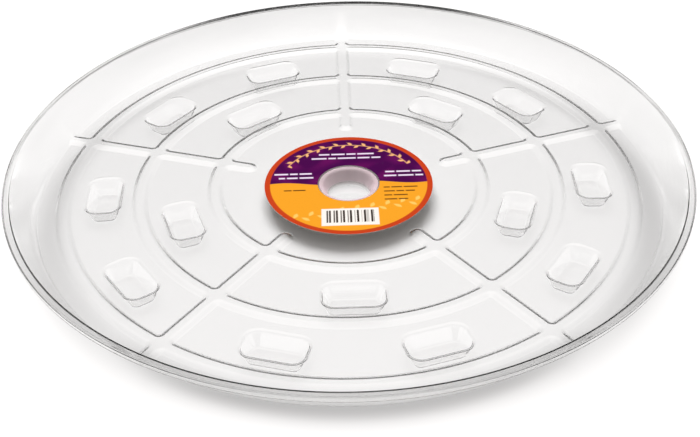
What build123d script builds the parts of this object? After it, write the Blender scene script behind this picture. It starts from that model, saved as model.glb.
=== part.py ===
from build123d import *
import math
import os

# Plant saucer: a round dish formed from one clear plastic sheet, and the printed ring
# label stuck on its floor. Millimetres, +Z up, origin on the ground under the dish's axis.

# The formed sheet, outside
overall_diameter = 431.8
overall_height = 35.5
sheet = 1.0

# Wall and rim; each bend is the radius on the inside of its fold
wall_lean = 29.5
flange_width = 4.4
shoulder_bend = 0.7
lip_bend = 0.4
lip_drop = 3.6

# Ribs that stand up from the floor: three rings, crossed by straight ribs
rib_height = 2.1
rib_top_width = 5.2
rib_slope = 37.0
rib_edge_radius = 3.0
rib_root_radius = 1.5
outer_ring_to_wall = 16.3
ring_pitch = 48.1
straight_rib_count = 5
straight_rib_nose = 20.0
panel_root_corner = 1.3

# Hollow feet that are pressed down below the floor
foot_depth = 10.3
foot_length = 37.6
foot_width = 21.6
foot_toe_corner = 3.4
foot_draft = 22.0
foot_mouth_radius = 3.0
foot_toe_radius = 1.2
outer_foot_angle = 16.4
foot_inset = 0.8
centre_foot_diameter = 34.6

# Ring label, lying on the floor between the centre foot and the ends of the straight ribs
label_to_ribs = 11.8
label_to_foot = 2.8
label_thickness = 0.3

# Levels of the upper skin, above the ground
panel_floor = sheet + foot_depth
rib_top = panel_floor + rib_height

# Radii about the axis, from the rim inwards
rim_radius = overall_diameter / 2
shoulder = rim_radius - flange_width
wall_slope = math.tan(math.radians(wall_lean))
wall_foot = shoulder - (overall_height - rib_top) * wall_slope
outer_ring = wall_foot - outer_ring_to_wall
middle_ring = outer_ring - ring_pitch
inner_ring = middle_ring - ring_pitch
straight_rib_start = inner_ring - straight_rib_nose

# Other places and shares
half_rib = rib_top_width / 2
rib_draft = 90 - rib_slope
rib_run = rib_height * math.tan(math.radians(rib_draft))
foot_corner = foot_toe_corner + foot_depth * math.tan(math.radians(foot_draft))
first_rib = 90
mid_sector = first_rib + 180 / straight_rib_count
level_tolerance = 0.01


def skin_gap(draft, thickness):
    """How far a pressing's outline on the skin at this thickness lies outside the one on top."""
    lean = math.radians(draft)
    return thickness * (1 - math.sin(lean)) / math.cos(lean)


def wall_radius(level, thickness):
    """Radius of the wall at a level, a thickness outside its inner skin."""
    return wall_foot + (level - rib_top) * wall_slope + thickness / math.cos(math.radians(wall_lean))


def reach(point):
    """Distance of a point from the dish's axis."""
    return math.hypot(point.X, point.Y)


def panel_outlines(level, inner, outer, grow):
    """Outlines of the panels between two radii, parted by the straight ribs, in order of angle."""
    with BuildSketch(Plane.XY.offset(level)) as outlines:
        Circle(outer + grow)
        if inner:
            Circle(inner - grow, mode=Mode.SUBTRACT)
        rib_middle = straight_rib_start + grow + rim_radius / 2
        with PolarLocations(rib_middle, straight_rib_count, start_angle=first_rib):
            SlotOverall(rim_radius, rib_top_width - 2 * grow, mode=Mode.SUBTRACT)
        nose_reach = straight_rib_start + rib_top_width
        corners = outlines.vertices().filter_by(lambda vertex: reach(vertex) > nose_reach)
        fillet(corners, radius=panel_root_corner + rib_run + grow)
    return outlines.sketch.faces().sort_by(lambda face: math.atan2(face.center().Y, face.center().X))


def pressed_panels(inner, outer, thickness):
    """Solids of one band's panels, from the ribs' level down to the floor, with sloping sides."""
    grow = skin_gap(rib_draft, thickness)
    top = rib_top - thickness
    floor = panel_floor - thickness
    with BuildPart() as panels:
        tops = panel_outlines(top, inner, outer, grow)
        floors = panel_outlines(floor, inner, outer, grow - rib_run)
        for top_face, floor_face in zip(tops, floors):
            loft([top_face, floor_face], ruled=True)
        if outer > outer_ring:
            with Locations((0, 0, floor)):
                Cone(
                    wall_radius(floor, thickness),
                    wall_radius(top, thickness),
                    rib_height,
                    align=(Align.CENTER, Align.CENTER, Align.MIN),
                    mode=Mode.INTERSECT,
                )
        fillet(panels.edges().group_by(Axis.Z)[0], radius=rib_root_radius + thickness)
    return panels.part


def pressed_feet(thickness):
    """Drafted solids of the feet, from the panels' level down to the toes."""
    grow = skin_gap(foot_draft, thickness)
    inner_band = (inner_ring + middle_ring) / 2 - foot_inset
    outer_band = (middle_ring + outer_ring) / 2 - foot_inset
    rows = [(inner_band, 0), (outer_band, -outer_foot_angle), (outer_band, outer_foot_angle)]
    length = foot_length + 2 * grow
    width = foot_width + 2 * grow
    with BuildPart() as feet:
        with BuildSketch(Plane.XY.offset(panel_floor - thickness)):
            Circle(centre_foot_diameter / 2 + grow)
            for radius, turn in rows:
                with PolarLocations(radius, straight_rib_count, start_angle=mid_sector + turn):
                    RectangleRounded(width, length, foot_corner + grow)
        extrude(amount=-foot_depth, taper=foot_draft)
        fillet(feet.edges().group_by(Axis.Z)[0], radius=foot_toe_radius + thickness)
    return feet.part


def edges_at(edges, level):
    """The edges, out of some, that lie at a level."""
    return edges.filter_by_position(Axis.Z, level - level_tolerance, level + level_tolerance)


with BuildPart() as saucer:
    # Flat sheet at the ribs' level, with the wall and the rim, turned about the axis
    under = rib_top - sheet
    under_flange = overall_height - sheet
    lip_end = overall_height - lip_drop
    with BuildSketch(Plane.XZ):
        with BuildLine():
            top_skin = FilletPolyline(
                (wall_radius(rib_top, 0), rib_top),
                (shoulder, overall_height),
                (rim_radius, overall_height),
                (rim_radius, lip_end),
                radius=[shoulder_bend + sheet, lip_bend + sheet],
            )
            under_skin = FilletPolyline(
                (wall_radius(under, sheet), under),
                (wall_radius(under_flange, sheet), under_flange),
                (rim_radius - sheet, under_flange),
                (rim_radius - sheet, lip_end),
                radius=[shoulder_bend, lip_bend],
            )
            Line(top_skin @ 1, under_skin @ 1)
            Polyline(under_skin @ 0, (0, under), (0, rib_top), top_skin @ 0)
        make_face()
    revolve(axis=Axis.Z)

    # Panels and feet: their outsides join the sheet, then their insides are hollowed
    bands = [
        (0, inner_ring - half_rib),
        (inner_ring + half_rib, middle_ring - half_rib),
        (middle_ring + half_rib, outer_ring - half_rib),
        (outer_ring + half_rib, rim_radius),
    ]
    outsides = [pressed_panels(inner, outer, sheet) for inner, outer in bands]
    insides = [pressed_panels(inner, outer, 0) for inner, outer in bands]
    add(outsides + [pressed_feet(sheet)])
    add(insides, mode=Mode.SUBTRACT)
    rib_edges = edges_at(saucer.edges(Select.LAST), rib_top)
    add(pressed_feet(0), mode=Mode.SUBTRACT)
    foot_mouths = edges_at(saucer.edges(Select.LAST), panel_floor)

    # Round the feet's mouths and the ribs' top edges, as far as the middle of the outer ring
    fillet(foot_mouths, radius=foot_mouth_radius)
    fillet(rib_edges.filter_by(lambda edge: reach(edge @ 0.5) < outer_ring), radius=rib_edge_radius)

with BuildPart() as label:
    with BuildSketch(Plane.XY.offset(panel_floor)):
        Circle(straight_rib_start - label_to_ribs)
        Circle(centre_foot_diameter / 2 + label_to_foot, mode=Mode.SUBTRACT)
    extrude(amount=label_thickness)

os.makedirs("parts", exist_ok=True)
for name, piece in (("saucer", saucer.part), ("label", label.part)):
    piece.label = name
    export_step(piece, f"parts/{name}.step")
    print(name, len(piece.solids()), "solid,", len(piece.faces()), "faces")
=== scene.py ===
# %% [markdown]
# # A clear plant saucer and its ring label
# The saucer is one sheet of clear plastic, heated and pulled over a mould, with a printed
# ring stuck on its floor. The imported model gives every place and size, in metres. Here both
# pieces are drawn again as fine surfaces with exact normals, because clear plastic shows every
# facet, and then they get their finishes, a white table, lamps and a camera.

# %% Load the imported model
import bpy
import math
import numpy as np
from mathutils import Matrix, Vector
from mathutils.geometry import delaunay_2d_cdt


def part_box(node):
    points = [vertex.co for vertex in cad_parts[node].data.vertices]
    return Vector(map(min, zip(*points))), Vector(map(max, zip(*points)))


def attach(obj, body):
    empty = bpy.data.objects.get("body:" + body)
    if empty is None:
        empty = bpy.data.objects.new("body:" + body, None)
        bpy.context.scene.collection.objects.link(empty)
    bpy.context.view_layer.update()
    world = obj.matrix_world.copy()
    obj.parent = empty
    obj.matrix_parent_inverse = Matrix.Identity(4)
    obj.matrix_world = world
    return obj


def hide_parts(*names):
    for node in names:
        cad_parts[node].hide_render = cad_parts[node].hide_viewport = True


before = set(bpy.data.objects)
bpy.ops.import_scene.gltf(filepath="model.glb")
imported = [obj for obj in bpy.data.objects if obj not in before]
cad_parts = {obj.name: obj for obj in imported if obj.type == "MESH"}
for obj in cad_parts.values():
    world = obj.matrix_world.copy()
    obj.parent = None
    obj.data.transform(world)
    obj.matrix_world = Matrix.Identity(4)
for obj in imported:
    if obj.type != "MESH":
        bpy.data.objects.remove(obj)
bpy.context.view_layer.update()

# %% [markdown]
# The sizes are those of the mould, in millimetres: a rim, a leaning wall, three ring ribs and
# five straight ribs that stand up from the floor, and hollow feet that go down below it.
# The outer ones come from the model's own boxes, so the surfaces stay where its pieces are.
# Each lean is measured from upright. The ribs' top bends are 1 mm wider than the model's, which
# moves their corners by 0.05 mm and keeps a second dark line off their near edges.

# %% Sizes in millimetres
MM = 0.001
box_high = np.array(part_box("saucer")[1]) / MM
rim_radius = box_high[0]
rim_level = box_high[2]
sheet = 1.0
wall_lean = 29.5
flange_width = 4.4
lip_drop = 3.6
shoulder_bend, lip_bend, lip_edge = 0.7, 0.4, 0.25
rib_height, rib_width, rib_lean = 2.1, 5.2, 53.0
rib_edge, rib_root = 4.0, 1.5
rib_count = 5
rib_nose = 20.0
root_corner = 1.3
ring_to_wall, ring_pitch = 16.3, 48.1
foot_depth, foot_length, foot_width = 10.3, 37.6, 21.6
foot_lean, foot_mouth, foot_toe, toe_corner = 22.0, 3.0, 1.2, 3.4
outer_foot_angle, foot_inset = 16.4, 0.8
centre_foot, label_to_foot = 17.3, 2.8
sharp = 0.15

floor_level = sheet + foot_depth
rib_level = floor_level + rib_height
wall_slope = math.tan(math.radians(wall_lean))
wall_top = rim_radius - flange_width
wall_foot = wall_top - (rim_level - rib_level) * wall_slope
outer_ring = wall_foot - ring_to_wall
middle_ring = outer_ring - ring_pitch
inner_ring = middle_ring - ring_pitch
nose_centre = inner_ring - rib_nose + rib_width / 2
rib_run = rib_height * math.tan(math.radians(rib_lean))
foot_run = foot_depth * math.tan(math.radians(foot_lean))
half_sector = 180 / rib_count
print("rings at", round(inner_ring, 1), round(middle_ring, 1), round(outer_ring, 1), "mm")

# %% [markdown]
# A pressed sheet is made of folds. Each fold here is a profile, worked out as rows of
# distance, height and tilt, and a path, worked out as points with the direction to its left.
# Carrying the profile along the path gives a grid of points, and the tilt gives the true
# normal at each, so the flats stay flat to the eye right up to the folds.

# %% Profiles
def fold(high, low, lean, top_radius, root_radius, steps):
    """Rows of a pressing's side: an arc off the upper level, a slope and an arc onto the lower one.

    The tilt runs from flat to the slope and back. On the upper arc the distance is the radius
    times sin(tilt), less what the arc needs before the corner, and the height drops by the
    radius times 1 - cos(tilt). The lower arc is the same thing turned over.
    """
    slope = math.radians(90 - lean)
    run = (high - low) / math.tan(slope)
    lead = math.tan(slope / 2)
    tilt = np.linspace(0, slope, steps)
    drop = 1 - np.cos(tilt)
    upper = [top_radius * (np.sin(tilt) - lead), high - top_radius * drop, tilt]
    lower = [run + root_radius * (lead - np.sin(tilt)), low + root_radius * drop, tilt]
    return np.concatenate([np.stack(upper, 1), np.stack(lower, 1)[::-1]])


def bent_strip(corners, radii, steps):
    """Rows of a bent strip: radius, height and the two parts of the normal, left of the way it runs.

    Each inner corner becomes an arc that is tangent to the two straights beside it.
    """
    corners = np.array(corners)
    way = np.diff(corners, axis=0)
    way /= np.linalg.norm(way, axis=1)[:, None]
    left = np.stack([-way[:, 1], way[:, 0]], 1)
    rows = [np.concatenate([corners[0], left[0]])[None]]
    for i, radius in enumerate(radii):
        turn = math.atan2(left[i] @ way[i + 1], way[i] @ way[i + 1])
        tangent = corners[i + 1] - way[i] * radius * math.tan(abs(turn) / 2)
        side = math.copysign(radius, turn)
        angle = np.linspace(0, turn, steps)[:, None]
        normal = left[i] * np.cos(angle) - way[i] * np.sin(angle)
        rows.append(np.concatenate([tangent + side * left[i] - side * normal, normal], 1))
    rows.append(np.concatenate([corners[-1], left[-1]])[None])
    return np.concatenate(rows)


# %% Paths
def arc(centre, radius, start, end, steps):
    """Points of an arc, in degrees, each with the direction to the left of the way it runs."""
    angle = np.radians(np.linspace(start, end, steps + 1))
    out = np.stack([np.cos(angle), np.sin(angle)], 1)
    return np.concatenate([np.array(centre) + radius * out, -np.sign(end - start) * out], 1)


def turned(flat, degrees):
    """Pairs of plan numbers, points or directions, turned about the axis; a third number stays."""
    c, s = math.cos(math.radians(degrees)), math.sin(math.radians(degrees))
    turn = np.array([[c, s], [-s, c]])
    out = flat.copy()
    out[..., :2] = flat[..., :2] @ turn
    if flat.shape[-1] == 4:
        out[..., 2:] = flat[..., 2:] @ turn
    return out


def polar(radius, degrees):
    """A point of the plan at a radius and an angle."""
    return np.array([radius * math.cos(math.radians(degrees)), radius * math.sin(math.radians(degrees))])


def carry(path, rows):
    """A fold carried along a path.

    Each point is the path's point plus the row's distance to the left, at the row's height.
    Each normal is sin(tilt) to the left and cos(tilt) up.
    """
    distance, height, tilt = rows.T
    shape = (len(rows), len(path), 1)
    plan = path[None, :, :2] + distance[:, None, None] * path[None, :, 2:]
    points = np.concatenate([plan, np.broadcast_to(height[:, None, None], shape)], 2)
    lean = np.sin(tilt)[:, None, None] * path[None, :, 2:]
    normals = np.concatenate([lean, np.broadcast_to(np.cos(tilt)[:, None, None], shape)], 2)
    return points, normals


print("profiles and paths ready")

# %% [markdown]
# The mesh is gathered patch by patch. Grids give quads, and a flat between outlines is filled
# with triangles, which show no seams because every normal on it is the same. At the end the
# points that two patches share become one, so that the two skins close into one solid sheet.

# %% Gathering a mesh
class Patches:
    """Points, normals and faces of one piece, collected in any order."""

    def __init__(self):
        self.points, self.normals, self.quads, self.triangles, self.count = [], [], [], [], 0

    def add(self, points, normals, faces, flip):
        """Takes one patch, turned over if flip is set."""
        kept = faces[:, ::-1] if flip else faces
        store = self.quads if faces.shape[1] == 4 else self.triangles
        store.append(kept + self.count)
        self.points.append(points.reshape(-1, 3))
        self.normals.append(normals.reshape(-1, 3) * (-1 if flip else 1))
        self.count += points.reshape(-1, 3).shape[0]

    def mesh(self, name):
        """One mesh with shared points merged and the normals set."""
        points, normals = np.concatenate(self.points), np.concatenate(self.normals)
        _, first, same = np.unique(np.round(points, 3), axis=0, return_index=True, return_inverse=True)
        same = same.reshape(-1)
        total = np.zeros((len(first), 3))
        np.add.at(total, same, normals)
        total /= np.linalg.norm(total, axis=1)[:, None]
        faces = [same[np.concatenate(part)].tolist() for part in (self.quads, self.triangles) if part]
        mesh = bpy.data.meshes.new(name)
        mesh.from_pydata((points[first] * MM).tolist(), [], sum(faces, []))
        mesh.validate(clean_customdata=False)
        mesh.shade_smooth()
        mesh.normals_split_custom_set_from_vertices(total.tolist())
        return mesh


def grid_faces(rows, columns, closed):
    """Quads of a grid of points, rows by columns, joined round its ends if closed."""
    i, j = np.meshgrid(np.arange(rows - 1), np.arange(columns if closed else columns - 1), indexing="ij")
    k = (j + 1) % columns
    corners = [i * columns + j, i * columns + k, (i + 1) * columns + k, (i + 1) * columns + j]
    return np.stack(corners, -1).reshape(-1, 4)


def filled(loops):
    """Points and triangles of the flat inside the first loop and outside the others.

    The triangles span all the points. One is kept if a ray from its middle crosses the outlines
    an odd number of times.
    """
    points = np.concatenate([loop[:, :2] for loop in loops])
    nexts = np.concatenate([np.roll(loop[:, :2], -1, 0) for loop in loops])
    sizes = np.cumsum([0] + [len(loop) for loop in loops])
    ends = np.concatenate([np.roll(np.arange(a, b), -1) for a, b in zip(sizes[:-1], sizes[1:])])
    edges = np.stack([np.arange(len(points)), ends], 1).tolist()
    found = delaunay_2d_cdt([Vector(point) for point in points.tolist()], edges, [], 0, 1e-7)
    order = np.array([ids[0] for ids in found[3]])
    triangles = order[np.array(found[2])]
    middle = points[triangles].mean(1)[:, None]
    across = (points[:, 1] > middle[..., 1]) != (nexts[:, 1] > middle[..., 1])
    rise = np.where(points[:, 1] == nexts[:, 1], 1, nexts[:, 1] - points[:, 1])
    cut = points[:, 0] + (middle[..., 1] - points[:, 1]) * (nexts[:, 0] - points[:, 0]) / rise
    triangles = triangles[(across & (middle[..., 0] < cut)).sum(1) % 2 == 1]
    one, two = (points[triangles[:, i]] - points[triangles[:, 0]] for i in (1, 2))
    clockwise = one[:, 0] * two[:, 1] < one[:, 1] * two[:, 0]
    triangles[clockwise] = triangles[clockwise][:, ::-1]
    return points, triangles


def add_flat(patches, loops, level, turns, flip):
    """Fills a flat at a level and repeats it at each turn about the axis."""
    plan, triangles = filled(loops)
    points = np.concatenate([plan, np.full((len(plan), 1), level)], 1)
    up = np.broadcast_to([0.0, 0.0, 1.0], points.shape)
    for turn in turns:
        patches.add(turned(points, turn), up, triangles, flip)


def add_fold(patches, path, rows, turns, flip, closed=True):
    """Carries a fold along a path, repeats it at each turn, and gives back its first and last rows."""
    points, normals = carry(path, rows)
    faces = grid_faces(*points.shape[:2], closed)
    for turn in turns:
        patches.add(turned(points, turn), turned(normals, turn), faces, flip)
    return points[0], points[-1]


print("mesh tools ready")

# %% [markdown]
# The floor's panels lie between the ring ribs and the straight ribs. Every outline is made of
# arcs: the rings themselves, small corner arcs where a ring meets a straight rib, and the round
# noses where the straight ribs end. The under skin is the same plan, moved out by what the
# sheet's thickness adds on a slope.

# %% Outlines of panels and feet
def skin_gap(lean, depth):
    """How far an outline moves out on the skin this deep below the upper one."""
    angle = math.radians(lean)
    return depth * (1 - math.sin(angle)) / math.cos(angle)


def corner_place(reach, side):
    """Angle from a rib to a corner's centre that lies at a reach from the axis and a side off the rib."""
    return math.degrees(math.asin(side / reach))


def outer_side(outer, half, corner, steps):
    """Outer edge of a panel about the X axis: corner, ring, corner."""
    turn = corner_place(outer - corner, half + corner)
    start, end = -half_sector + turn, half_sector - turn
    first = arc(polar(outer - corner, start), corner, -half_sector - 90, start, corner_steps)
    ring = arc((0, 0), outer, start, end, steps)[1:-1]
    last = arc(polar(outer - corner, end), corner, end, half_sector + 90, corner_steps)
    return np.concatenate([first, ring, last])


def inner_side(inner, half, corner, steps):
    """Inner edge of a panel about the X axis, run the other way: corner, ring, corner."""
    turn = corner_place(inner + corner, half + corner)
    start, end = half_sector - turn, -half_sector + turn
    first = arc(polar(inner + corner, start), corner, half_sector + 90, start + 180, corner_steps)
    ring = arc((0, 0), inner, start, end, steps)[1:-1]
    last = arc(polar(inner + corner, end), corner, end + 180, 270 - half_sector, corner_steps)
    return np.concatenate([first, ring, last])


def foot_outline(reach, grow):
    """Rounded rectangle of a foot's mouth, its middle on the X axis."""
    corner = toe_corner + foot_run + grow
    across, along = foot_width / 2 + grow - corner, foot_length / 2 + grow - corner
    places = [(across, -along, -90), (across, along, 0), (-across, along, 90), (-across, -along, 180)]
    return np.concatenate(
        [arc((reach + x, y), corner, start, start + 90, foot_corner_steps) for x, y, start in places]
    )


corner_steps, foot_corner_steps, nose_steps = 6, 7, 10
ring_step = 4.0
first_panel = 90 + half_sector
panel_turns = first_panel + 2 * half_sector * np.arange(rib_count)
foot_plan = [
    ((inner_ring + middle_ring) / 2 - foot_inset, [0.0]),
    ((middle_ring + outer_ring) / 2 - foot_inset, [-outer_foot_angle, outer_foot_angle]),
]
print(rib_count, "panels in each band")

# %% [markdown]
# One function draws a whole skin, so the upper and the under skin cannot drift apart. The
# wall's lower part is a patch between two straight ribs, whose rows lie at the same levels as
# the rows of the ribs' sides, so that ribs and wall meet point by point.

# %% The two skins
def add_skin(patches, depth, flip):
    """Draws the skin at a depth below the upper one, out to the wall at the ribs' level."""
    grow = skin_gap(rib_lean, depth)
    half = rib_width / 2 - grow
    corner = root_corner + rib_run + grow
    top, low, toe = rib_level - depth, floor_level - depth, sheet - depth
    edge_radius = max(rib_edge - depth, sharp)
    rows = fold(top, low, rib_lean, edge_radius, rib_root + depth, rib_steps)
    mouth_radius = max(foot_mouth - depth, sharp)
    foot_rows = fold(low, toe, foot_lean, mouth_radius, foot_toe + depth, foot_steps)
    foot_grow = skin_gap(foot_lean, depth)
    web = []

    # Centre panel, cut in by the noses of the straight ribs, with the round foot in its middle
    outer = inner_ring - rib_width / 2 + grow
    edge = outer_side(outer, half, corner, round(outer * 2 * math.radians(half_sector) / ring_step))
    nose = arc(polar(nose_centre, half_sector), half, half_sector - 90, half_sector - 270, nose_steps)
    fifth = np.concatenate([edge, nose])
    path = np.concatenate([turned(fifth, turn) for turn in panel_turns])
    first, last = add_fold(patches, path, rows, [0], flip)
    web.append(first)
    round_foot = arc((0, 0), centre_foot + foot_grow, 0, 360, centre_foot_steps)[:-1]
    mouth, floor = add_fold(patches, round_foot, foot_rows, [0], flip)
    add_flat(patches, [last, mouth], low, [0], flip)
    add_flat(patches, [floor], toe, [0], flip)

    # The two bands of panels, each with its feet
    bands = [(inner_ring, middle_ring), (middle_ring, outer_ring)]
    for (ring_in, ring_out), (reach, angles) in zip(bands, foot_plan):
        inner, outer = ring_in + rib_width / 2 - grow, ring_out - rib_width / 2 + grow
        sides = [
            side(radius, half, corner, round(radius * 2 * math.radians(half_sector) / ring_step))
            for side, radius in ((outer_side, outer), (inner_side, inner))
        ]
        first, last = add_fold(patches, np.concatenate(sides), rows, panel_turns, flip)
        web += [turned(first, turn) for turn in panel_turns]
        holes = []
        for angle in angles:
            path = turned(foot_outline(reach, foot_grow), angle)
            mouth, floor = add_fold(patches, path, foot_rows, panel_turns, flip)
            add_flat(patches, [floor], toe, panel_turns, flip)
            holes.append(mouth)
        add_flat(patches, [last] + holes, low, panel_turns, flip)

    # The edge panels: ring and rib sides, whose rows end on the wall
    inner = outer_ring + rib_width / 2 - grow
    path = inner_side(inner, half, corner, round(inner * 2 * math.radians(half_sector) / ring_step))
    points, normals = carry(path, rows)
    reach, tilt = wall_at(rows[:, 1], depth)
    turn = np.degrees(np.arcsin((half + rows[:, 0]) / reach))
    ends = [np.radians(half_sector - turn), np.radians(turn - half_sector)]
    rims = [np.stack([reach * np.cos(a), reach * np.sin(a), rows[:, 1]], 1)[:, None] for a in ends]
    points = np.concatenate([rims[0], points, rims[1]], 1)
    normals = np.concatenate([normals[:, :1], normals, normals[:, -1:]], 1)
    faces = grid_faces(*points.shape[:2], False)

    # The wall's lower part, between two straight ribs
    share = np.linspace(0, 1, wall_columns + 1)[None, :]
    angle = ends[1][:, None] + share * (ends[0] - ends[1])[:, None]
    out = np.stack([np.cos(angle), np.sin(angle)], 2)
    level = np.broadcast_to(rows[:, 1][:, None, None], angle.shape + (1,))
    wall = np.concatenate([reach[:, None, None] * out, level], 2)
    up = np.broadcast_to(np.cos(tilt)[:, None, None], angle.shape + (1,))
    wall_normals = np.concatenate([-np.sin(tilt)[:, None, None] * out, up], 2)
    wall_faces = grid_faces(*angle.shape, False)
    for panel_turn in panel_turns:
        patches.add(turned(points, panel_turn), turned(normals, panel_turn), faces, flip)
        patches.add(turned(wall, panel_turn), turned(wall_normals, panel_turn), wall_faces, flip)
    add_flat(patches, [np.concatenate([points[-1], wall[-1, 1:-1]])], low, panel_turns, flip)

    # The ribs' flat tops, in one piece from the centre panel to the wall
    fifth = np.degrees(np.arctan2(wall[0, :, 1], wall[0, :, 0]))
    gap = np.linspace(fifth[-1], fifth[0] + 2 * half_sector, rib_end_columns + 1)[1:-1]
    rib_end = reach[0] * np.stack([np.cos(np.radians(gap)), np.sin(np.radians(gap))], 1)
    side = np.concatenate([points[0, ::-1, :2], rib_end])
    border = np.concatenate([turned(side, turn) for turn in panel_turns])
    add_flat(patches, [border] + web, top, [0], flip)
    return np.radians(np.concatenate([np.concatenate([fifth, gap]) + turn for turn in panel_turns]))


def wall_at(level, depth):
    """Radius and tilt of the wall at some levels: an arc off the floor, then the leaning straight."""
    slope = math.radians(90 - wall_lean)
    low, root = floor_level - depth, rib_root + depth
    rise = (level - low) / root
    tilt = np.arccos(np.clip(1 - rise, math.cos(slope), 1))
    straight = wall_foot + (level - rib_level) * wall_slope + depth / math.cos(math.radians(wall_lean))
    foot = wall_foot + (low - rib_level) * wall_slope + depth / math.cos(math.radians(wall_lean))
    bend = foot - root * math.tan(slope / 2) + root * np.sin(tilt)
    return np.where(rise < 1 - math.cos(slope), bend, straight), tilt


rib_steps, foot_steps, centre_foot_steps = 6, 7, 64
wall_columns, rib_end_columns = 60, 3
saucer_patches = Patches()
wall_angles = add_skin(saucer_patches, 0, False)
under_angles = add_skin(saucer_patches, sheet, True)
print("skins", saucer_patches.count, "points")

# %% [markdown]
# The rest of the wall, the flat flange and the turned-down lip are one bent strip, turned about
# the axis. It starts on the upper skin, goes over the rim and comes back down the under skin.

# %% Wall, rim and lip
under_rim = rim_level - sheet
lip_end = rim_level - lip_drop
under_wall_top = wall_at(np.array([under_rim]), sheet)[0][0]
under_wall_foot = wall_at(np.array([rib_level - sheet]), sheet)[0][0]
bend_steps = 6
strip = bent_strip(
    [
        (wall_foot, rib_level),
        (wall_top, rim_level),
        (rim_radius, rim_level),
        (rim_radius, lip_end),
        (rim_radius - sheet, lip_end),
        (rim_radius - sheet, under_rim),
        (under_wall_top, under_rim),
        (under_wall_foot, rib_level - sheet),
    ],
    [shoulder_bend + sheet, lip_bend + sheet, lip_edge, lip_edge, lip_bend, shoulder_bend],
    bend_steps,
)
angles = np.repeat(wall_angles[None], len(strip), 0)
angles[-1] = under_angles
around = np.stack([np.cos(angles), np.sin(angles)], 2)
height = np.broadcast_to(strip[:, 1, None, None], angles.shape + (1,))
lift = np.broadcast_to(strip[:, 3, None, None], angles.shape + (1,))
saucer_patches.add(
    np.concatenate([strip[:, 0, None, None] * around, height], 2),
    np.concatenate([strip[:, 2, None, None] * around, lift], 2),
    grid_faces(*angles.shape, True)[:, ::-1],
    False,
)
saucer = bpy.data.objects.new("clear_saucer", saucer_patches.mesh("clear_saucer"))
bpy.context.collection.objects.link(saucer)
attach(saucer, "saucer")
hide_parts("saucer")
triangle_count = sum(len(face.vertices) - 2 for face in saucer.data.polygons)
print("saucer", len(saucer.data.vertices), "points,", triangle_count, "triangles")

# %% [markdown]
# The label is a ring of coated paper, printed in a few flat inks. The print is drawn as a colour
# for every point of a fine polar grid, because leaves, rows and bars are short formulas of the
# point's place, and an attribute stays with the paper in any view. The design is a plain one:
# two fields with a wavy border between them, leaf sprays, rows of dashes and a panel of bars.

# %% Label surface
label_low, label_high = (np.array(corner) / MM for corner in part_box("label"))
label_outer = label_high[0]
label_inner = centre_foot + label_to_foot
label_top = label_high[2]
glue_line = 0.05
label_bottom = label_low[2] + glue_line
paper_edge = 0.08
print_pitch = 0.4

columns = round(2 * math.pi * label_outer / print_pitch)
rings = round((label_outer - label_inner) / print_pitch)
spread = np.linspace(label_inner + paper_edge, label_outer - paper_edge, rings)
section = np.concatenate(
    [
        [[label_inner + paper_edge, label_bottom, 0, -1]],
        [[label_inner, label_bottom + paper_edge, -1, 0]],
        [[label_inner, label_top - paper_edge, -1, 0]],
        np.stack([spread, np.full(rings, label_top), np.zeros(rings), np.ones(rings)], 1),
        [[label_outer, label_top - paper_edge, 1, 0]],
        [[label_outer, label_bottom + paper_edge, 1, 0]],
        [[label_outer - paper_edge, label_bottom, 0, -1]],
        [[label_inner + paper_edge, label_bottom, 0, -1]],
    ]
)
around_label = np.linspace(0, 2 * math.pi, columns, endpoint=False)
outward = np.stack([np.cos(around_label), np.sin(around_label)], 1)[None]
wide = (len(section), columns, 1)
from_axis, above_ground, normal_out, normal_up = section.T[:, :, None, None]
label_patches = Patches()
label_patches.add(
    np.concatenate([from_axis * outward, np.broadcast_to(above_ground, wide)], 2),
    np.concatenate([normal_out * outward, np.broadcast_to(normal_up, wide)], 2),
    grid_faces(len(section), columns, True)[:, ::-1],
    False,
)
label = bpy.data.objects.new("ring_label", label_patches.mesh("ring_label"))
bpy.context.collection.objects.link(label)
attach(label, "label")
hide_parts("label")
print("label", len(label.data.vertices), "points")

# %% Colours
def linear(hex_code):
    """The linear red, green and blue of an sRGB hex colour."""
    parts = np.array([int(hex_code[i : i + 2], 16) for i in (1, 3, 5)]) / 255
    return np.where(parts <= 0.04045, parts / 12.92, ((parts + 0.055) / 1.055) ** 2.4)


paper_white = linear("#F4EFE9")
ink_red = linear("#C4401A")
ink_purple = linear("#460248")
ink_plum = linear("#741060")
ink_orange = linear("#F0A026")
ink_gold = linear("#FFC766")
ink_rust = linear("#E3902A")
ink_peach = linear("#F2B577")
ink_lilac = linear("#EADCF0")
ink_brown = linear("#4B2A12")
print("inks ready")

# %% The print
def inked(colours, ink, cover):
    """Lays an ink over the colours where it covers them."""
    return colours + (ink - colours) * np.clip(cover, 0, 1)[:, None]


def within(distance):
    """Cover of a shape from the distance outside its edge, soft over one step of the grid."""
    return 0.5 - distance / print_pitch


def spray(along, off, pitch, length, width):
    """Leaves in pairs of one, left and right in turn, along a stem: the distance outside the nearest leaf.

    In each step of the pitch a leaf leans forward at 45 degrees. Its half width is the width
    times the sine of pi times the share of its length.
    """
    step = np.floor(along / pitch)
    side = 1 - 2 * np.mod(step, 2)
    ahead, beside = along - (step + 0.2) * pitch, off * side
    share = np.clip((ahead + beside) * math.sqrt(0.5) / length, 0, 1)
    return np.abs(beside - ahead) * math.sqrt(0.5) - width * np.sin(math.pi * share)


def dashes(x, y, left, middle, words, tall):
    """A row of plain dashes, one for each word length: the distance outside the nearest dash."""
    gap = np.full(len(x), 99.0)
    for word in words:
        centre = left + word / 2
        gap = np.minimum(gap, np.maximum(np.abs(x - centre) - word / 2, np.abs(y - middle) - tall / 2))
        left += word + tall * 0.8
    return gap


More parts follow.
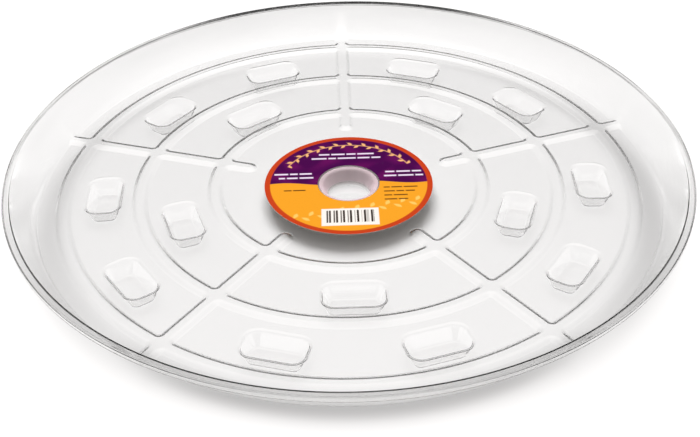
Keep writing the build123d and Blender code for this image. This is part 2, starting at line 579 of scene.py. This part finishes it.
def mottle(x, y, size):
    """A soft cloud from crossed waves of a size in millimetres, between 0 and 1."""
    k = 2 * math.pi / size
    waves = np.sin(k * x + 1.3 * np.sin(0.7 * k * y)) + np.sin(1.3 * k * y + 1.7 * np.sin(0.6 * k * x))
    return 0.5 + 0.25 * waves


def laid_rows(colours, ink, x, y, rows, tall, strength):
    """Lays rows of dashes, each given by its left end, its middle line and its word lengths."""
    for left, middle, words in rows:
        colours = inked(colours, ink, strength * within(dashes(x, y, left, middle, words, tall)))
    return colours


print("print tools ready")

# %% [markdown]
# The inks go on in order: the orange field with its pale spray, the purple field above the wavy
# line, the garland that follows the label's curve, the rows of dashes, the white patch with its
# bars, and the red border. The paper's edges and underside stay white.

# %% Inks on the label
label_points = np.empty(len(label.data.vertices) * 3)
label.data.vertices.foreach_get("co", label_points)
x, y, z = label_points.reshape(-1, 3).T / MM
reach = np.hypot(x, y)
angle = np.degrees(np.arctan2(y, x))

colours = np.repeat(ink_orange[None], len(x), 0)
stem = y + 30 - 0.2 * x
pale_leaves = spray(x + 0.35 * y + 60, stem, pitch=5.2, length=7.0, width=1.5)
colours = inked(colours, ink_gold, 0.55 * within(pale_leaves))
colours = inked(colours, ink_rust, 0.35 * within(np.abs(stem) - 0.25))

above_split = y - 1.6 * np.sin(x / 9.0)
cloud = np.clip(mottle(x, y, 23.0) - 0.45, 0, 0.5)[:, None]
colours = inked(colours, ink_purple + (ink_plum - ink_purple) * cloud, within(-above_split))

garland_radius, garland_start, garland_end = 44.5, 27, 153
along_garland = (angle - 25) * math.radians(1) * garland_radius
off_garland = reach - garland_radius
shown = (angle > garland_start) & (angle < garland_end)
leaves = spray(along_garland, off_garland, pitch=4.6, length=4.4, width=1.05)
colours = inked(colours, ink_peach, np.where(shown, within(leaves), 0))
colours = inked(colours, ink_peach, np.where(shown, within(np.abs(off_garland) - 0.3), 0))

upper_rows = [
    (-19, 33.6, (7, 9, 6, 11)),
    (-24, 28.9, (10, 5, 12, 8, 6)),
    (-48.5, 11.6, (9, 5, 8)),
    (-45.5, 7.0, (4, 7, 9)),
    (24.5, 11.6, (6, 9, 6)),
    (23.5, 7.0, (8, 10, 5)),
]
lower_rows = [
    (-42, -7, (5, 8)),
    (22.5, -6, (4, 7, 9)),
    (22.5, -10.4, (7, 5, 6)),
    (22.5, -14.8, (5, 9)),
    (22.5, -19.2, (8, 6)),
]
colours = laid_rows(colours, ink_lilac, x, y, upper_rows, tall=1.6, strength=1.0)
colours = laid_rows(colours, ink_brown, x, y, lower_rows, tall=1.2, strength=0.8)

white_patch = np.maximum(np.abs(x) - 18, np.abs(y + 36.8) - 8.8)
colours = inked(colours, paper_white, within(white_patch))
bars = np.sin(x * 2.9) + 0.9 * np.sin(x * 1.37 + 1.0) + 0.5 * np.sin(x * 4.3 + 0.4)
barred = (np.abs(x) < 15) & (np.abs(y + 36.2) < 6.3)
colours = inked(colours, ink_brown * 0.25, np.where(barred, 0.5 + 1.6 * bars, 0))

red_border = 3.6
colours = inked(colours, ink_red, within(label_outer - red_border - reach))
colours = inked(colours, paper_white, np.where(z < label_top - 0.01, 1, 0))
layer = label.data.color_attributes.new("print", "FLOAT_COLOR", "POINT")
with_alpha = np.concatenate([colours, np.ones((len(x), 1))], 1)
layer.data.foreach_set("color", with_alpha.astype(np.float32).ravel())
print("print drawn at", print_pitch, "mm")

# %% [markdown]
# Each finish is a small node tree. One helper adds a node, sets its values and links its
# inputs, so the trees below read as a list of what feeds what.

# %% Node helper
def add(tree, kind, inputs=None, **settings):
    """Adds a node, sets its settings, and fills its inputs with values or links from other nodes."""
    node = tree.nodes.new(kind)
    for name, value in settings.items():
        setattr(node, name, value)
    for name, value in (inputs or {}).items():
        if isinstance(value, bpy.types.NodeSocket):
            tree.links.new(value, node.inputs[name])
        else:
            node.inputs[name].default_value = value
    return node


def new_tree(name):
    """A new material and its empty node tree."""
    material = bpy.data.materials.new(name)
    material.use_nodes = True
    material.node_tree.nodes.clear()
    return material, material.node_tree


def ranged(tree, value, from_low, from_high, to_low, to_high):
    """A value taken from one range to another, and held at its ends."""
    before = {"From Min": from_low, "From Max": from_high}
    after = {"To Min": to_low, "To Max": to_high}
    return add(tree, "ShaderNodeMapRange", {"Value": value, **before, **after}).outputs[0]


def math_of(tree, operation, first, *others):
    """One operation of arithmetic, carried through any number of values in turn."""
    for other in others:
        first = add(tree, "ShaderNodeMath", {0: first, 1: other}, operation=operation).outputs[0]
    return first


def times(tree, *factors):
    """The product of some values."""
    return math_of(tree, "MULTIPLY", *factors)


def length(tree, vector):
    """The length of a vector."""
    return add(tree, "ShaderNodeVectorMath", {0: vector}, operation="LENGTH").outputs["Value"]


def noise(tree, vector, size, detail):
    """Smooth noise with features of a size, in the units of the vector."""
    inputs = {"Vector": vector, "Scale": 1 / size, "Detail": detail, "Roughness": 0.4}
    return add(tree, "ShaderNodeTexNoise", inputs).outputs["Fac"]


def rgba(colour):
    """A linear colour with full alpha, as sockets take it."""
    return (*map(float, colour), 1.0)


print("node helpers ready")

# %% [markdown]
# The sheet is clear PVC, a smooth formed skin with a slow waviness left by the hot sheet as it
# was pulled over the mould. Its finish changes from place to place, so the tree first works out
# where a point is, in millimetres: its plan, its level and its distance from the axis.

# %% Clear plastic: waviness and places
clear_plastic, tree = new_tree("clear_formed_pvc")
coordinates = add(tree, "ShaderNodeTexCoord")
scaled = {0: coordinates.outputs["Object"], "Scale": 1 / MM}
spot = add(tree, "ShaderNodeVectorMath", scaled, operation="SCALE").outputs[0]
spot_parts = add(tree, "ShaderNodeSeparateXYZ", {"Vector": spot})
to_right, to_back, level = (spot_parts.outputs[axis] for axis in "XYZ")
plan_spot = add(tree, "ShaderNodeVectorMath", {0: spot, 1: (1, 1, 0)}, operation="MULTIPLY").outputs[0]
radius = length(tree, plan_spot)
waviness = noise(tree, spot, size=38.0, detail=1.0)
wavy = add(tree, "ShaderNodeBump", {"Height": waviness, "Strength": 0.06, "Distance": 0.0006})
print("places in millimetres, out to", round(rim_radius, 1))

# %% [markdown]
# The wall was stretched the most, so it is hazier than the floor, and faint streaks run round it.
# The streaks are noise that changes quickly with the distance from the axis and slowly along the
# wall. The side of the centre cup is rougher, and a painted pink sheen on it is painted light that
# keeps it pale in the label's shade.

# %% Clear plastic: haze, streaks and a painted sheen in the cup
above_floor = ranged(tree, level, rib_level, rib_level + 4, 0.0, 1.0)
below_rim = ranged(tree, level, rim_level - 5, rim_level - 2, 1.0, 0.0)
on_wall = times(tree, above_floor, below_rim)
off_front = ranged(tree, to_back, -140, -40, 0.0, 1.0)
wall_roughness = ranged(tree, times(tree, on_wall, off_front), 0.0, 1.0, 0.03, 0.15)

cup_reach = ranged(tree, radius, centre_foot + 1.5, centre_foot + 2.5, 1.0, 0.0)
in_cup = times(tree, cup_reach, ranged(tree, level, 1.5, 4.0, 0.0, 1.0))
roughness = ranged(tree, in_cup, 0.0, 1.0, wall_roughness, 0.4)

streak_stretch = 0.08
slow_x, slow_y = (times(tree, part, streak_stretch) for part in (to_right, to_back))
streak_spot = add(tree, "ShaderNodeCombineXYZ", {"X": slow_x, "Y": slow_y, "Z": radius})
streak = noise(tree, streak_spot.outputs[0], size=7.0, detail=1.0)
streak_depth = ranged(tree, on_wall, 0.0, 1.0, 1.0, 0.97)
streak_tone = ranged(tree, streak, 0.35, 0.65, streak_depth, 1.0)
print("haze and streaks ready")

# %% [markdown]
# The rim bends much of a real studio into sight, more than one lamp and a plain room can show.
# So the dark parts of that studio are painted into its colour by place, as painted reflections, to
# match the photograph: the wall greys towards its top at the back, the flange is a little grey at
# the front and nearly black at the far back, and the lip's corner is slightly darker all round.

# %% Clear plastic: painted reflections on the rim
# Painted reflections of the dark studio on the rim, set by place.
rim_tone = ranged(tree, to_back, 20, 190, 0.98, 0.8)
wall_rise = ranged(tree, level, rib_level, rim_level, 0.0, 1.0)
off_lip = ranged(tree, radius, rim_radius - 2.7, rim_radius - 2.1, 1.0, 0.0)
wall_tone = ranged(tree, times(tree, wall_rise, off_lip), 0.0, 1.0, 0.98, rim_tone)

on_flange = ranged(tree, level, rim_level - 1.3, rim_level - 0.9, 0.0, 1.0)
flange_start = ranged(tree, to_back, 0, 150, wall_top + 0.6, wall_top - 0.6)
flange_full = ranged(tree, to_back, 0, 150, wall_top + 1.1, wall_top - 0.1)
past_shoulder = ranged(tree, radius, flange_start, flange_full, 0.0, 1.0)
front_flange = ranged(tree, to_back, -120, 60, 0.8, 1.0)
flange_shade = ranged(tree, to_back, 165, 195, front_flange, 0.03)
flange_tone = ranged(tree, times(tree, on_flange, past_shoulder), 0.0, 1.0, 1.0, flange_shade)

lip_corner = ranged(tree, radius, rim_radius - 1.3, rim_radius - 0.9, 0.0, 1.0)
corner_tone = ranged(tree, times(tree, on_flange, lip_corner), 0.0, 1.0, 1.0, 0.85)
print("rim tones ready")

# %% [markdown]
# Where a rib's far edge is seen at a flat angle, the sheet's colour is painted dark. A little of
# that is real, since light there goes a long way through the sheet, but most of it is painted shade.
# It draws the ribs as thin lines. The darkening is kept to the ribs and is strongest on the far half
# of the dish, as in the photograph.

# %% Clear plastic: painted shade on the ribs' far edges
rib_foot = ranged(tree, to_back, 50, 140, floor_level + 0.2, floor_level - 1.3)
above_feet = ranged(tree, level, rib_foot, floor_level + 0.5, 0.0, 1.0)
below_wall = ranged(tree, level, rib_level, rib_level + 1, 1.0, 0.0)
far_share = ranged(tree, to_back, -80, 40, 0.3, 1.0)
on_rib = times(tree, above_feet, below_wall, far_share)
edge_tone = ranged(tree, on_rib, 0.0, 1.0, 1.0, 0.03)
facing = add(tree, "ShaderNodeLayerWeight", {"Blend": 0.5}).outputs["Facing"]
# Painted shade: the sheet's colour darkens where a rib's far edge is seen at a flat angle.
painted_edge_shade = ranged(tree, facing, 0.6, 0.72, 1.0, edge_tone)

plastic = add(
    tree,
    "ShaderNodeBsdfPrincipled",
    {
        # Base colour: painted reflections on the rim, painted shade on the ribs' far edges, and faint
        # random streaks.
        "Base Color": times(tree, wall_tone, streak_tone, flange_tone, corner_tone, painted_edge_shade),
        "Roughness": roughness,
        "IOR": 1.54,
        "Transmission Weight": 1.0,
        "Normal": wavy.outputs["Normal"],
        # A painted pink sheen on the cup's side: painted light that keeps it pale in the label's shade.
        "Sheen Weight": in_cup,
        "Sheen Roughness": 1.0,
        "Sheen Tint": rgba(linear("#FFE4EC")),
    },
)
print("plastic ready")

# %% [markdown]
# Lamps and bounced light pass straight through the sheet, as they nearly do through thin clear
# plastic, so what lies under it is lit. The floor keeps back a little of that light, and the sides
# of the feet a little more. Over a ring of the table below the wall the sheet keeps back more, mostly
# at the front, which lays a painted shadow on that ring. The lamp stands behind the dish,
# so the ring is moved to the front. Its size and depth were matched to the photograph.

# %% Clear plastic: light through the sheet and a painted shadow ring
beside_toe = ranged(tree, level, 1.5, 3.0, 0.0, 1.0)
below_floor = ranged(tree, level, 8.5, 10.5, 1.0, 0.0)
past_cup = ranged(tree, radius, 22, 30, 0.0, 1.0)
on_foot = times(tree, beside_toe, below_floor, past_cup)
foot_tone = ranged(tree, on_foot, 0.0, 1.0, 0.95, 0.9)
clear_tone = ranged(tree, level, rib_level, rib_level + 4, foot_tone, 1.0)

shade_shift = {0: plan_spot, 1: (0, -7, 0)}
shade_spot = add(tree, "ShaderNodeVectorMath", shade_shift, operation="ADD").outputs[0]
shade_radius = length(tree, shade_spot)
# A ring of painted shadow on the table below the wall, laid by the sheet keeping back more light there.
ring_start = ranged(tree, shade_radius, 182, 188, 0.0, 1.0)
front_ring = times(tree, ring_start, ranged(tree, shade_radius, 193, 203, 1.0, 0.0))
side_ring = times(tree, ring_start, ranged(tree, shade_radius, 200, 214, 1.0, 0.0))
front_shade = times(tree, front_ring, ranged(tree, to_back, -170, -110, 0.36, 0.0))
right_shade = times(tree, side_ring, ranged(tree, to_right, 50, 190, 0.0, 0.17))
left_shade = times(tree, side_ring, ranged(tree, to_right, -190, -50, 0.12, 0.0))
ring_shade = math_of(tree, "MAXIMUM", front_shade, right_shade, left_shade)
light_through = math_of(tree, "SUBTRACT", clear_tone, ring_shade)
through = add(tree, "ShaderNodeBsdfTransparent", {"Color": light_through})

ray = add(tree, "ShaderNodeLightPath")
lighting = math_of(tree, "MAXIMUM", ray.outputs["Is Shadow Ray"], ray.outputs["Is Diffuse Ray"])
shaders = {0: lighting, 1: plastic.outputs[0], 2: through.outputs[0]}
mixed = add(tree, "ShaderNodeMixShader", shaders)
add(tree, "ShaderNodeOutputMaterial", {"Surface": mixed.outputs[0]})
saucer.data.materials.append(clear_plastic)
print(clear_plastic.name)

# %% [markdown]
# The label is coated paper: the print under a thin clear varnish, so the sheen is even and the
# paper's fibre shows only as a faint unevenness.

# %% Printed paper
printed_paper, tree = new_tree("printed_coated_paper")
ink = add(tree, "ShaderNodeVertexColor", layer_name="print")
paper_spot = add(tree, "ShaderNodeTexCoord")
fibre_size = 0.9
fibre = add(
    tree,
    "ShaderNodeTexNoise",
    {"Vector": paper_spot.outputs["Object"], "Scale": 1 / (fibre_size * MM), "Detail": 3.0},
).outputs["Fac"]
uneven = ranged(tree, fibre, 0.0, 1.0, 0.93, 1.05)
ink_tone = add(tree, "ShaderNodeVectorMath", {0: ink.outputs["Color"], "Scale": uneven}, operation="SCALE")
grain = add(tree, "ShaderNodeBump", {"Height": fibre, "Strength": 0.15, "Distance": 0.00005})
paper = add(
    tree,
    "ShaderNodeBsdfPrincipled",
    {
        "Base Color": ink_tone.outputs[0],
        "Roughness": ranged(tree, fibre, 0.0, 1.0, 0.48, 0.6),
        "IOR": 1.5,
        "Specular IOR Level": 0.1,
        "Normal": grain.outputs["Normal"],
    },
)
add(tree, "ShaderNodeOutputMaterial", {"Surface": paper.outputs[0]})
label.data.materials.append(printed_paper)
print(printed_paper.name)

# %% [markdown]
# The table is a plain white sheet, which keeps the shadows and bounces light up under the dish.

# %% Table
table_half = 3.0
table_drop = 0.0002
corners = np.array([[-1, -1], [1, -1], [1, 1], [-1, 1]]) * table_half
table_mesh = bpy.data.meshes.new("table")
table_mesh.from_pydata([(a, b, -table_drop) for a, b in corners.tolist()], [], [(0, 1, 2, 3)])
table = bpy.data.objects.new("table", table_mesh)
bpy.context.collection.objects.link(table)
white_table, tree = new_tree("white_table")
card = add(tree, "ShaderNodeBsdfDiffuse", {"Color": rgba(linear("#FAFAFA"))})
add(tree, "ShaderNodeOutputMaterial", {"Surface": card.outputs[0]})
table.data.materials.append(white_table)
print("table", 2 * table_half, "m wide")

# %% [markdown]
# The studio is one large soft lamp, high and behind, and a pale room that is brightest above
# and dark towards its walls. Clear plastic has no colour of its own: its edges are drawn partly by
# the dark parts of the room that they bend into sight, and partly by the painted shade and painted
# reflections set in the sheet's colour.

# %% Lamps and room
def soft_lamp(name, place, target, size, power, colour):
    """A square area lamp at a place, turned to its target."""
    lamp = bpy.data.lights.new(name, "AREA")
    lamp.size = size
    lamp.energy = power
    lamp.color = linear(colour)
    holder = bpy.data.objects.new(name, lamp)
    holder.location = place
    holder.rotation_euler = (Vector(target) - Vector(place)).to_track_quat("-Z", "Y").to_euler()
    holder.visible_glossy = False
    holder.visible_transmission = False
    bpy.context.collection.objects.link(holder)
    return holder


soft_lamp("key_lamp", place=(-0.5, 5.0, 8.6), target=(0, 0, 0), size=7.0, power=1000.0, colour="#FFFFFF")
room = bpy.data.worlds.new("room")
bpy.context.scene.world = room
room.use_nodes = True
tree = room.node_tree
tree.nodes.clear()
sky_way = add(tree, "ShaderNodeTexCoord")
sky_parts = add(tree, "ShaderNodeSeparateXYZ", {"Vector": sky_way.outputs["Generated"]})
shade = add(
    tree,
    "ShaderNodeMapRange",
    {"Value": sky_parts.outputs["Z"], "From Min": 0.5, "From Max": 0.97, "To Min": 0.02, "To Max": 0.9},
    interpolation_type="SMOOTHSTEP",
)
sky = add(tree, "ShaderNodeBackground", {"Color": rgba(linear("#FFFBF9")), "Strength": shade.outputs[0]})
add(tree, "ShaderNodeOutputWorld", {"Surface": sky.outputs[0]})
print("lamps and room ready")

# %% [markdown]
# The camera stands where the photographer stood. Its height and distance were found by laying
# the rim and the three rings over the picture. It looks a little below the dish's middle and is
# rolled by about a degree, and the dish itself is turned by a degree on the table.

# %% Camera
def camera_axes(elevation, pan, tilt, roll, distance, turn):
    """Place, right, up and forward of a camera that looks at the origin from the front, then pans,
    tilts and rolls, and is turned about the axis."""
    e, p, t, r, q = (math.radians(value) for value in (elevation, pan, tilt, roll, turn))
    place = distance * np.array([0, -math.cos(e), math.sin(e)])
    ahead = -place / distance
    right = np.array([1.0, 0.0, 0.0])
    up = np.cross(right, ahead)
    ahead, right = ahead * math.cos(p) + right * math.sin(p), right * math.cos(p) - ahead * math.sin(p)
    ahead, up = ahead * math.cos(t) - up * math.sin(t), up * math.cos(t) + ahead * math.sin(t)
    right, up = right * math.cos(r) + up * math.sin(r), up * math.cos(r) - right * math.sin(r)
    spin = np.array([[math.cos(q), -math.sin(q), 0], [math.sin(q), math.cos(q), 0], [0, 0, 1]])
    return [spin @ part for part in (place, right, up, ahead)]


image_width = 700
focal_pixels = 1142.1
camera_place, right, up, ahead = camera_axes(
    elevation=34.98, pan=0.033, tilt=1.905, roll=-1.154, distance=742.5 * MM, turn=-1.0
)
camera = bpy.data.cameras.new("camera")
camera.sensor_width = 36.0
camera.lens = focal_pixels / image_width * camera.sensor_width
camera.clip_start = 0.01
viewer = bpy.data.objects.new("camera", camera)
bpy.context.collection.objects.link(viewer)
pose = np.eye(4)
pose[:3, 0], pose[:3, 1], pose[:3, 2] = right, up, -ahead
pose[:3, 3] = camera_place + np.array([0, 0, rib_level * MM])
viewer.matrix_world = Matrix(pose.tolist())
bpy.context.scene.camera = viewer
bpy.context.scene.view_settings.view_transform = "Standard"
print("lens", round(camera.lens, 2), "mm")
